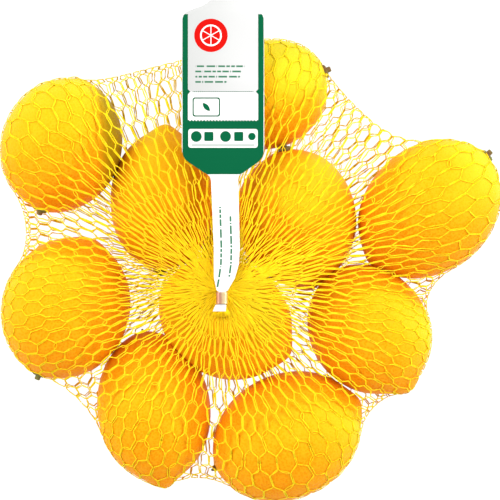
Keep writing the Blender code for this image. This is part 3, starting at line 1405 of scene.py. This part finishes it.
    def _threads(self, knots: Points, random: np.random.Generator) -> Points:
        """Every thread as one line of points from band to band.

        Args:
            knots: Places of the knots.
            random: The seeded source of small differences.

        Returns:
            An array of threads, rows of the net, points in a row, and places.
        """
        half, across, out = self._frames(knots)
        shape = knots.shape[:2]
        gap = self.strand_gap + self.loosest_gap * random.uniform(size=shape) ** 2.5
        lean = random.normal(scale=self.lean, size=shape)[..., None]
        reach = half + lean * across * np.linalg.norm(half, axis=-1, keepdims=True)
        rows = np.arange(self.rows + 1)
        threads = []
        for start in range(self.columns):
            for kind in (0, 1):
                columns = self._zigzag(start, kind)
                side = np.where(rows % 2 == kind, 1.0, -1.0)
                aside = across[rows, columns] * (side * gap[rows, columns])[:, None]
                line = self._line(knots[rows, columns], reach[rows, columns], aside)
                threads.extend(self._twins(line, out[rows, columns], random))
        return np.array(threads)

    def _line(self, middle: Points, reach: Points, aside: Points) -> Points:
        """The middle line of one strand.

        Args:
            middle: The knots that it passes.
            reach: Half of each knot's pillar.
            aside: Which way and how far it lies from the pillar's middle.

        Returns:
            Rows of points: the pillar's waist and foot, the leg, the next top.
        """
        waist = middle + aside
        foot = (middle + reach + 0.75 * aside)[:-1]
        top = (middle - reach + 0.75 * aside)[1:]
        swing = self.leg_swing * np.linalg.norm(top - foot, axis=1, keepdims=True)
        leave, arrive = unit(reach[:-1]) * swing, unit(reach[1:]) * swing
        points = [waist[:-1], foot]
        for share in np.linspace(0.0, 1.0, self.leg_points + 2)[1:-1]:
            square, cube = share**2, share**3
            points.append(
                foot * (2 * cube - 3 * square + 1)
                + leave * (cube - 2 * square + share)
                + top * (3 * square - 2 * cube)
                + arrive * (cube - square)
            )
        points.append(top)
        return np.stack(points, axis=1)

    def _twins(
        self, line: Points, out: Points, random: np.random.Generator
    ) -> list[Points]:
        """The two threads of one strand, wound round each other.

        Args:
            line: Rows of points on the strand's middle line.
            out: Outward directions at its knots.
            random: The seeded source of small differences.

        Returns:
            Two arrays like the line.
        """
        flat = line.reshape(-1, 3)
        count = line.shape[1]
        share = np.arange(count) / (count - 1)
        normal = out[:-1, None] * (1 - share)[:, None] + out[1:, None] * share[:, None]
        normal = unit(normal.reshape(-1, 3))
        side = unit(np.cross(normal, unit(np.gradient(flat, axis=0))))
        wide = self.widest_twin * random.uniform(size=self.rows) ** 3
        bulge = np.sin(math.pi * np.clip((share - 0.15) / 0.8, 0, 1))
        wide = (wide[:, None] * bulge).reshape(-1)
        bow = random.normal(scale=self.bow, size=self.rows)
        bow = (bow[:, None] * bulge).reshape(-1)
        phase = random.uniform(0, 2 * math.pi) + self.twin_turn * np.arange(len(flat))
        level = random.uniform()
        twins = []
        for sign in (-1.0, 1.0):
            aside = sign * (self.twin_offset * np.cos(phase) + wide) + bow
            lift = 0.5 * sign * self.twin_offset * np.sin(phase)
            lift += self._stack(flat) * (level + 0.05 * sign)
            moved = flat + side * aside[:, None] + normal * lift[:, None]
            twins.append(moved.reshape(line.shape))
        return twins

    def _stack(self, points: Points) -> Points:
        """How high threads lie on one another where they crowd at a band.

        Args:
            points: Places on the threads.

        Returns:
            A height for each place.
        """
        total = np.zeros(len(points))
        for throat in (self.upper_throat, self.lower_throat):
            radius = np.linalg.norm(points - np.array(throat), axis=1)
            crowd = self.crowded_radius / np.maximum(radius, 0.0030) - 1.0
            total += 2 * self.thread_radius * np.clip(crowd, 0.0, 4.0)
        return total

    def _gathered(
        self, line: Points, zone: NetZone, random: np.random.Generator
    ) -> Points:
        """Adds a thread's run through the band, to its ragged cut end.

        Args:
            line: The thread within its zone.
            zone: The zone, at the upper or the lower band.
            random: The seeded source of small differences.

        Returns:
            The longer line.
        """
        top = zone is NetZone.TOP
        run = self.upper_run if top else self.lower_run
        throat = self.upper_throat if top else self.lower_throat
        near = line[3] if top else line[-4]
        angle = math.atan2(near[1] - throat[1], near[0] - throat[0])
        depth = math.sqrt(random.uniform(0.05, 1.0))
        ragged = random.uniform(-0.0009, 0.0007)
        extra = []
        for number, (place, radius) in enumerate(run):
            spread = radius * depth
            beyond = ragged if number == len(run) - 1 else 0.0
            ahead = math.copysign(beyond, beyond * (run[-1][0][1] - run[0][0][1]))
            extra.append(
                (
                    place[0] + spread * math.cos(angle),
                    place[1] + ahead,
                    place[2] + spread * math.sin(angle),
                )
            )
        extra = np.array(extra)
        extra[:, 2] = np.maximum(extra[:, 2], self.floor_height + self.thread_radius)
        if top:
            return np.vstack((extra[::-1], line[2:]))
        return np.vstack((line[:-1], extra))

    def _piece(
        self, zone: NetZone, threads: Points, random: np.random.Generator
    ) -> bpy.types.Object:
        """One stretch of net as tubes.

        Args:
            zone: Which stretch.
            threads: All threads.
            random: The seeded source of small differences.

        Returns:
            The finished piece.
        """
        first = round(zone.value[0] * self.rows)
        last = round(zone.value[1] * self.rows)
        part = threads[:, first:last].reshape(len(threads), -1, 3)
        if last < self.rows:
            part = np.concatenate((part, threads[:, last, :1]), axis=1)
        flat = part.reshape(-1, 3)
        for _ in range(2):
            flat = self._outside(flat, self.thread_radius * 1.05)
        lines = list(flat.reshape(part.shape))
        if zone is not NetZone.RIM:
            lines = [self._gathered(line, zone, random) for line in lines]
        name = "net_" + zone.name.lower()
        return finish_piece(self._tubes(name, lines), NET_NODE, 180.0)

    def _tubes(self, name: str, lines: list[Points]) -> bpy.types.Object:
        """Lays a tube along every line with Geometry Nodes.

        Args:
            name: The piece's name.
            lines: Lines of points.

        Returns:
            A plain mesh of closed tubes.
        """
        places = np.vstack(lines)
        edges = []
        start = 0
        for line in lines:
            edges.extend((start + i, start + i + 1) for i in range(len(line) - 1))
            start += len(line)
        mesh = bpy.data.meshes.new(name + "_lines")
        mesh.from_pydata([tuple(place) for place in places], edges, [])
        guide = bpy.data.objects.new(name + "_lines", mesh)
        bpy.context.scene.collection.objects.link(guide)
        modifier = guide.modifiers.new("threads", "NODES")
        modifier.node_group = thread_tree(self.thread)
        sockets = {
            item.name: item.identifier
            for item in modifier.node_group.interface.items_tree
            if item.item_type == "SOCKET" and item.in_out == "INPUT"
        }
        modifier[sockets["Thread radius"]] = self.thread_radius
        modifier[sockets["Sides"]] = self.tube_sides
        bpy.context.view_layer.update()
        graph = bpy.context.evaluated_depsgraph_get()
        plain = bpy.data.meshes.new_from_object(guide.evaluated_get(graph))
        plain.name = name
        bpy.data.objects.remove(guide, do_unlink=True)
        obj = bpy.data.objects.new(name, plain)
        bpy.context.scene.collection.objects.link(obj)
        return obj


def thread_tree(material: bpy.types.Material) -> bpy.types.NodeTree:
    """The Geometry Nodes tree that turns lines into threads.

    Args:
        material: The thread's material.

    Returns:
        A tree with inputs for the thread's radius and its sides.
    """
    tree = bpy.data.node_groups.new("threads_along_lines", "GeometryNodeTree")
    face = tree.interface
    face.new_socket("Geometry", in_out="INPUT", socket_type="NodeSocketGeometry")
    for name, kind in (("Thread radius", "Float"), ("Sides", "Int")):
        face.new_socket(name, in_out="INPUT", socket_type="NodeSocket" + kind)
    face.new_socket("Geometry", in_out="OUTPUT", socket_type="NodeSocketGeometry")
    nodes, links = tree.nodes, tree.links
    given = nodes.new("NodeGroupInput")
    result = nodes.new("NodeGroupOutput")
    curve = nodes.new("GeometryNodeMeshToCurve")
    circle = nodes.new("GeometryNodeCurvePrimitiveCircle")
    sweep = nodes.new("GeometryNodeCurveToMesh")
    sweep.inputs["Fill Caps"].default_value = True
    realize = nodes.new("GeometryNodeRealizeInstances")
    paint = nodes.new("GeometryNodeSetMaterial")
    paint.inputs["Material"].default_value = material
    links.new(given.outputs["Geometry"], curve.inputs["Mesh"])
    links.new(given.outputs["Sides"], circle.inputs["Resolution"])
    links.new(given.outputs["Thread radius"], circle.inputs["Radius"])
    links.new(curve.outputs["Curve"], sweep.inputs["Curve"])
    links.new(circle.outputs["Curve"], sweep.inputs["Profile Curve"])
    links.new(sweep.outputs["Mesh"], realize.inputs["Geometry"])
    links.new(realize.outputs["Geometry"], paint.inputs["Geometry"])
    links.new(paint.outputs["Geometry"], result.inputs["Geometry"])
    return tree


@dataclass
class BandPiece:
    """A band: strip metal folded round the gathered net, its ends lapped on top."""

    node: str
    metal: bpy.types.Material
    wall: float = 0.00055
    corner: float = 0.0019
    round_points: int = 11
    length_points: int = 25
    lap: float = 0.00007
    bead: float = 0.00007
    waist: float = 0.00005
    round_off: float = 0.00014

    def build(self) -> bpy.types.Object:
        """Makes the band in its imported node's box.

        Returns:
            The band's object.
        """
        low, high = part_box(self.node)
        middle = (low + high) / 2
        size = high - low
        outline = self._outline(size.x, size.z)
        points, faces = self._sleeve(outline, middle, size.y)
        obj = new_mesh_object(self.node + "_strip", points, faces)
        fix_normals(obj)
        across = [(vert.co.x - middle.x) / (size.x / 2) for vert in obj.data.vertices]
        set_attribute(obj.data, "across", across)
        obj.data.materials.append(self.metal)
        return finish_piece(obj, self.node, 50.0)

    def _outline(self, width: float, height: float) -> list:
        """Points round the sleeve, in its own plane, with their outward directions.

        Args:
            width: The sleeve's outer width.
            height: Its outer height.

        Returns:
            Sideways place, height and direction of each point.
        """
        outline = []
        for quarter in range(4):
            middle_x = (width / 2 - self.corner) * (1 if quarter in (0, 3) else -1)
            middle_z = (height / 2 - self.corner) * (1 if quarter in (0, 1) else -1)
            for step in range(self.round_points):
                angle = math.pi / 2 * (quarter + step / (self.round_points - 1))
                out = (math.cos(angle), math.sin(angle))
                place = (middle_x + self.corner * out[0], middle_z + self.corner * out[1])
                outline.append((*place, out))
        return outline

    def _sleeve(self, outline: list, middle: Vector, length: float) -> tuple:
        """A closed wall round the hole, with beaded ends and a lapped seam.

        Args:
            outline: The points of _outline.
            middle: The sleeve's middle.
            length: Its length.

        Returns:
            World points and faces.
        """
        points = []
        rings = []
        for layer in (0.0, 1.0):
            steps = range(self.length_points)
            for step in steps if layer == 0.0 else reversed(steps):
                share = step / (self.length_points - 1)
                along = (share - 0.5) * length
                edge = min(share, 1 - share)
                bead = self.bead * math.exp(-((edge - 0.10) / 0.07) ** 2)
                waist = self.waist * math.sin(math.pi * share)
                round_off = self.round_off * max(0.0, 1 - edge / 0.03)
                ring = []
                for x, z, out in outline:
                    seam = self.lap * smoothstep(0.0, 0.0004, np.array(x + 0.0004))
                    seam = seam if out[1] > 0.7 else 0.0
                    inset = layer * self.wall + (1 - layer) * (
                        self.bead + waist + self.lap - bead - seam + round_off
                    )
                    ring.append(len(points))
                    points.append(
                        (
                            middle.x + x - out[0] * inset,
                            middle.y + along,
                            middle.z + z - out[1] * inset,
                        )
                    )
                rings.append(ring)
        faces = []
        for ring, after in zip(rings, rings[1:] + rings[:1]):
            count = len(ring)
            for i in range(count):
                j = (i + 1) % count
                faces.append((ring[i], ring[j], after[j], after[i]))
        return np.array(points), faces


@dataclass
class TagPiece:
    """The printed tag: one curled strip of film, wide at its free end."""

    face: bpy.types.Material
    back: bpy.types.Material
    thickness: float = 0.00030
    columns: int = 44
    longest_row: float = 0.0011
    curl: float = 0.0015
    curl_from_width: float = 0.030
    ripple: float = 0.00022
    stations: tuple = (
        (-0.0293, -0.0147, 0.0031, 0.0636),
        (-0.0262, -0.0139, 0.0026, 0.0640),
        (-0.0260, -0.0135, 0.0016, 0.0639),
        (-0.0200, -0.0133, 0.0016, 0.0639),
        (-0.0194, -0.0133, 0.0026, 0.0640),
        (-0.0134, -0.0122, 0.0050, 0.0634),
        (-0.0067, -0.0113, 0.0060, 0.0622),
        (0.0010, -0.0111, 0.0062, 0.0606),
        (0.0326, -0.0121, 0.0065, 0.0568),
        (0.0344, -0.0123, 0.0066, 0.0566),
        (0.0352, -0.0124, 0.0069, 0.0566),
        (0.0361, -0.0125, 0.0078, 0.0565),
        (0.0372, -0.0126, 0.0097, 0.0565),
        (0.0418, -0.0128, 0.0163, 0.0562),
        (0.0432, -0.0129, 0.0180, 0.0561),
        (0.0448, -0.0129, 0.0190, 0.0561),
        (0.0468, -0.0129, 0.0195, 0.0560),
        (0.0495, -0.0129, 0.0197, 0.0560),
        (0.0800, -0.0129, 0.0197, 0.0558),
        (0.1104, -0.0129, 0.0196, 0.0534),
        (0.1124, -0.0129, 0.0189, 0.0532),
        (0.1140, -0.0128, 0.0174, 0.0530),
        (0.1152, -0.0127, 0.0147, 0.0528),
        (0.1166, -0.0126, 0.0108, 0.0526),
        (0.1180, -0.0125, 0.0082, 0.0524),
        (0.1196, -0.0124, 0.0065, 0.0522),
    )

    map_size = 0.16

    def build(self) -> bpy.types.Object:
        """Makes the tag and hands it to the frame.

        Returns:
            The tag's object.
        """
        rows = self._rows()
        start = rows[0][0]
        top, bottom, chart = [], [], []
        for y, middle, half_width, height in rows:
            for column in range(self.columns + 1):
                across = 2 * column / self.columns - 1
                bend = self.curl * (half_width / self.curl_from_width) * across**2
                wave = self.ripple * math.sin(y * 170 + across * 1.7)
                wave *= min(1.0, max(0.0, (y + 0.015) / 0.02))
                place = (middle + across * half_width, y, height - bend + wave)
                top.append((place[0], place[1], place[2] + self.thickness / 2))
                bottom.append((place[0], place[1], place[2] - self.thickness / 2))
                chart.append((across * half_width, y - start))
        obj = self._sheet(top, bottom, chart, len(rows))
        obj.data.materials.append(self.face)
        obj.data.materials.append(self.back)
        return finish_piece(obj, TAG_NODE, 40.0)

    def _rows(self) -> list:
        """The stations, with rows added between those that are far apart.

        Returns:
            The stations, in order along the tag.
        """
        rows = []
        for near, far in zip(self.stations, self.stations[1:]):
            steps = max(1, math.ceil((far[0] - near[0]) / self.longest_row))
            for step in range(steps):
                share = step / steps
                rows.append([a + (b - a) * share for a, b in zip(near, far)])
        rows.append(list(self.stations[-1]))
        return rows

    def _sheet(
        self, top: list, bottom: list, chart: list, rows: int
    ) -> bpy.types.Object:
        """Two faces and the edge round them.

        Args:
            top: Places of the printed face.
            bottom: Places of the back.
            chart: Each place on the tag's map, in metres.
            rows: How many rows of points there are.

        Returns:
            The object, with a map and a material index on each face.
        """
        wide = self.columns + 1
        count = len(top)
        faces, zones = [], []
        for row in range(rows - 1):
            for column in range(self.columns):
                a = row * wide + column
                b, c, d = a + 1, a + 1 + wide, a + wide
                faces.append((a, b, c, d))
                zones.append(TagZone.PRINTED)
                faces.append((count + a, count + d, count + c, count + b))
                zones.append(TagZone.PLAIN)
        last = (rows - 1) * wide
        rim = list(range(wide))
        rim += [row * wide + self.columns for row in range(1, rows)]
        rim += [last + column for column in range(self.columns - 1, -1, -1)]
        rim += [row * wide for row in range(rows - 2, 0, -1)]
        for here, after in zip(rim, rim[1:] + rim[:1]):
            faces.append((after, here, count + here, count + after))
            zones.append(TagZone.PLAIN)
        obj = new_mesh_object("tag_sheet", np.array(top + bottom), faces)
        layer = obj.data.uv_layers.new(name="tag_map")
        for polygon, zone in zip(obj.data.polygons, zones):
            polygon.material_index = zone.value
            for loop in polygon.loop_indices:
                across, along = chart[obj.data.loops[loop].vertex_index % count]
                layer.data[loop].uv = (across / self.map_size, along / self.map_size)
        return obj


@dataclass
class Studio:
    """Bright white surroundings, a pale floor and the camera above."""

    floor_size: float = 40.0
    sky: float = 0.72
    lamp_power: float = 32.0
    lamp_size: float = 1.1
    floor_glow: float = 1.0
    lamps: tuple = (
        ((-1.4, 1.0, 1.2), 0.95),
        ((1.5, 1.0, 1.2), 1.15),
        ((1.6, -0.7, 1.2), 0.38),
        ((-1.6, -0.7, 1.2), 0.34),
    )

    def build(self) -> None:
        """Makes the floor, the lights, the world and the camera."""
        self._floor()
        self._world()
        for place, share in self.lamps:
            self._lamp(place, self.lamp_power * share)
        self._camera()
        settings = bpy.context.scene.view_settings
        settings.view_transform = "Standard"
        settings.look = "None"

    def _floor(self) -> None:
        """A wide pale floor that is bright enough to lose its shadows."""
        half = self.floor_size / 2
        corners = half * np.array([(-1, -1, 0), (1, -1, 0), (1, 1, 0), (-1, 1, 0)])
        floor = new_mesh_object("floor", corners, [(0, 1, 2, 3)])
        bench = NodeBench("pale_floor")
        bench.set(
            Base_Color=(0.10, 0.10, 0.10, 1.0),
            Roughness=0.9,
            Specular_IOR_Level=0.0,
            Emission_Color=(1.0, 1.0, 1.0, 1.0),
            Emission_Strength=self.floor_glow,
        )
        floor.data.materials.append(bench.material)

    def _world(self) -> None:
        """Even white light from all round."""
        world = bpy.data.worlds.new("white_room")
        world.use_nodes = True
        background = world.node_tree.nodes["Background"]
        background.inputs["Color"].default_value = (1.0, 1.0, 1.0, 1.0)
        background.inputs["Strength"].default_value = self.sky
        bpy.context.scene.world = world

    def _lamp(self, place: tuple, power: float) -> None:
        """A large soft lamp that looks at the object.

        Args:
            place: Where it hangs, in metres.
            power: Its power in watts.
        """
        data = bpy.data.lights.new("soft_lamp", "AREA")
        data.shape = "SQUARE"
        data.size = self.lamp_size
        data.energy = power
        lamp = bpy.data.objects.new("soft_lamp", data)
        lamp.location = place
        lamp.rotation_euler = (-Vector(place)).to_track_quat("-Z", "Y").to_euler()
        lamp.visible_camera = False
        bpy.context.scene.collection.objects.link(lamp)

    def _camera(self) -> None:
        """A long lens straight above, framed as the photograph is."""
        data = bpy.data.cameras.new("camera")
        data.sensor_width = SENSOR_WIDTH
        width = PICTURE_PIXELS * METRES_PER_PIXEL
        data.lens = SENSOR_WIDTH * (CAMERA_HEIGHT - FOCUS_HEIGHT) / width
        data.clip_end = 50.0
        camera = bpy.data.objects.new("camera", data)
        camera.location = (0.0, 0.0, CAMERA_HEIGHT)
        bpy.context.scene.collection.objects.link(camera)
        bpy.context.scene.camera = camera


@dataclass
class LemonNet:
    """The whole object: lemons, net, bands and tag."""

    pieces: list = field(default_factory=list)
    below_strip: float = -0.00045
    upper_throat_offset: tuple = (0.0, 0.0040, -0.0022)
    lower_throat_offset: tuple = (0.0, -0.0086, 0.0045)

    def build(self) -> None:
        """Builds every sub-assembly in order."""
        peel = PeelFinish().build()
        calyx = CalyxFinish().build()
        for shape in LEMONS:
            self.pieces.append(LemonPiece(shape, peel, calyx).build())
        self.pieces.extend(self._net().build())
        metal = BandFinish().build()
        for node in (UPPER_BAND_NODE, LOWER_BAND_NODE):
            self.pieces.append(BandPiece(node, metal).build())
        face = PrintedFilmFinish().build()
        back = PlainFilmFinish().build()
        self.pieces.append(TagPiece(face, back).build())
        LOG.info("%d pieces", len(self.pieces))

    def _net(self) -> NetKnit:
        """The net, tied to where the two bands are.

        Returns:
            The net, not yet knitted.
        """
        low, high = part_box(UPPER_BAND_NODE)
        upper = (low + high) / 2 + Vector((0.0, 0.0, self.below_strip))
        low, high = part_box(LOWER_BAND_NODE)
        lower = (low + high) / 2
        return NetKnit(
            thread=ThreadFinish().build(),
            upper_throat=upper + Vector(self.upper_throat_offset),
            lower_throat=lower + Vector(self.lower_throat_offset),
            upper_run=self._run(upper, -1.0),
            lower_run=self._run(lower, 1.0),
        )

    def _run(self, middle: Vector, heading: float) -> tuple:
        """Places and radii of the gathered net through a band and out of it.

        Args:
            middle: The middle of the gathered net in the band.
            heading: 1 where the cut end points to +Y, and -1 to -Y.

        Returns:
            Pairs of place and radius, from the bag's side to the cut end.
        """
        steps = (
            (-0.0036, -0.0003, 0.0016),
            (-0.0024, 0.0, 0.0012),
            (0.0026, 0.0, 0.0012),
            (0.0046, -0.0006, 0.0020),
            (0.0066, -0.0014, 0.0034),
            (0.0084, -0.0024, 0.0044),
        )
        run = []
        for ahead, rise, radius in steps:
            place = (middle.x, middle.y + heading * ahead, middle.z + rise)
            run.append((place, radius))
        return tuple(run)


def main() -> None:
    """Builds the object and its surroundings."""
    logging.basicConfig(level=logging.INFO)
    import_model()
    LemonNet().build()
    Studio().build()


if __name__ == "__main__":
    main()
